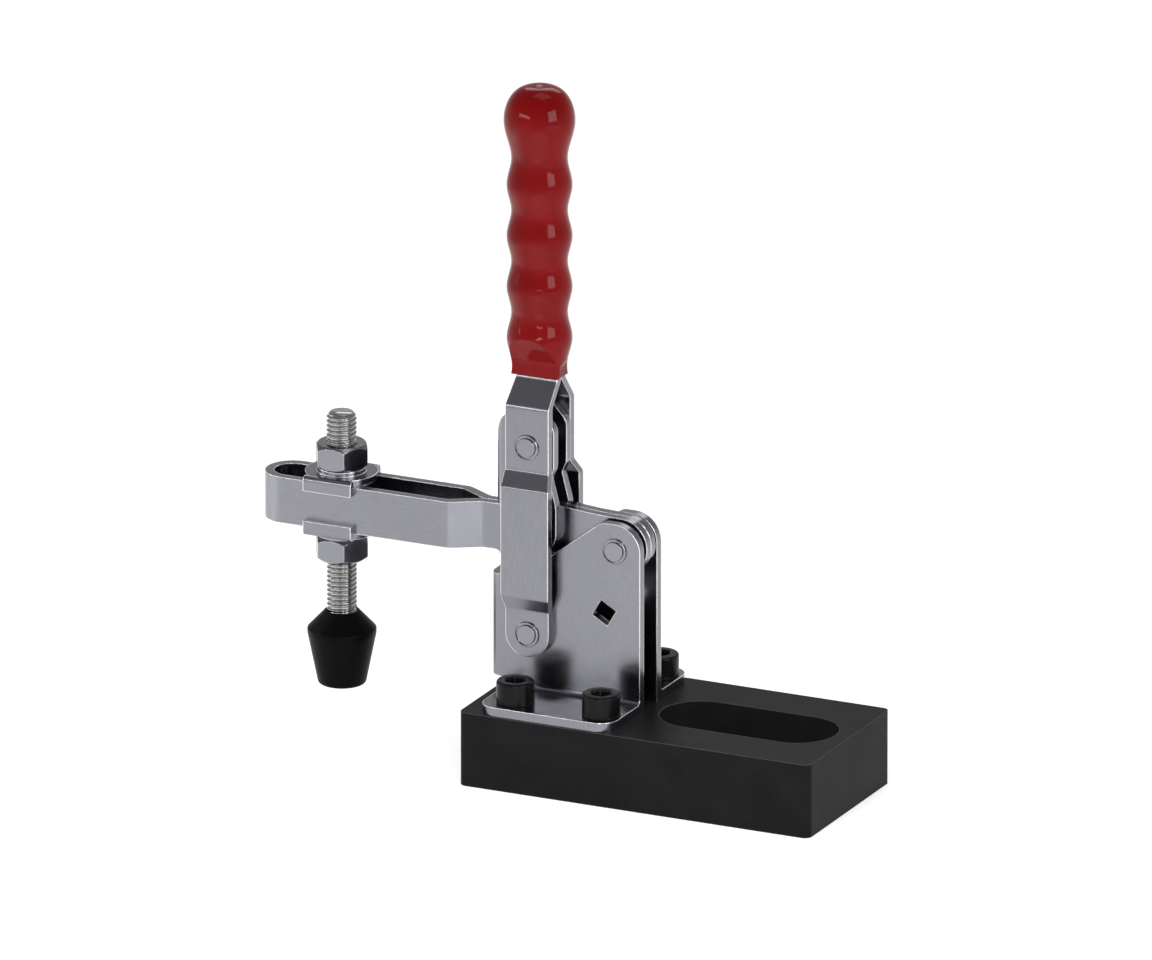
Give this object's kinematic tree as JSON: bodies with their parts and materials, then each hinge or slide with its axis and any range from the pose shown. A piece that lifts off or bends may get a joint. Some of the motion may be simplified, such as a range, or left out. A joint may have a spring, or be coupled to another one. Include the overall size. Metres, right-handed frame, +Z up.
{
  "type": "toggle clamp",
  "caption": "Vertical-handle toggle clamp with a slotted U-shaped bar, adjustable rubber-tipped spindle and flanged base, screwed to a slotted mounting block.",
  "frame": {"origin": "centre of the mounting block's underside, on the surface it stands on", "axes": "+Z up along the handle, +X from the clamping spindle towards the slotted end of the block, Y across the clamp"},
  "size_m": [0.1665, 0.05, 0.1844],
  "materials": {
    "block": "satin black oxide",
    "pressed_steel": "bright rolled steel",
    "pin_steel": "turned steel",
    "thread_steel": "zinc plated",
    "screw_black": "black oxide",
    "grip_red": "glossy red dip",
    "tip_black": "matt black"
  },
  "bodies": {
    "base": {"base_block": "block", "base_channel": "pressed_steel", "cap_screws": "screw_black", "lower_pivot": "pin_steel", "bar_pivot": "pin_steel", "bar_spacers": "pin_steel"},
    "handle": {"handle_plate_front": "pressed_steel", "handle_plate_rear": "pressed_steel", "handle_grip": "grip_red", "upper_pivot": "pin_steel"},
    "link": {"link_front": "pressed_steel", "link_rear": "pressed_steel"},
    "bar": {"u_bar": "pressed_steel", "link_pivot": "pin_steel"},
    "spindle_set": {"spindle": "thread_steel", "upper_nut": "thread_steel", "lower_nut": "thread_steel", "upper_washer": "pressed_steel", "lower_washer": "pressed_steel", "rubber_tip": "tip_black"}
  },
  "joints": [
    {"name": "handle_swing", "type": "hinge", "parent": "base", "child": "handle", "pos_m": [-0.0379, 0, 0.038], "axis": [0, 1, 0], "range_deg": [0, 57]},
    {"name": "link_swing", "type": "hinge", "parent": "handle", "child": "link", "pos_m": [-0.0385, 0, 0.0885], "axis": [0, 1, 0], "range_deg": [0, 94]},
    {"name": "bar_swing", "type": "hinge", "parent": "base", "child": "bar", "pos_m": [-0.0141, 0, 0.0633], "axis": [0, 1, 0], "range_deg": [0, 100.5]},
    {"name": "spindle_slide", "type": "slide", "parent": "bar", "child": "spindle_set", "axis": [1, 0, 0], "range_m": [-0.012, 0.026]}
  ],
  "couplings": [
    {"joint": "link_swing", "follows": "handle_swing", "ratio": 1.6351},
    {"joint": "bar_swing", "follows": "handle_swing", "ratio": 1.7544}
  ]
}
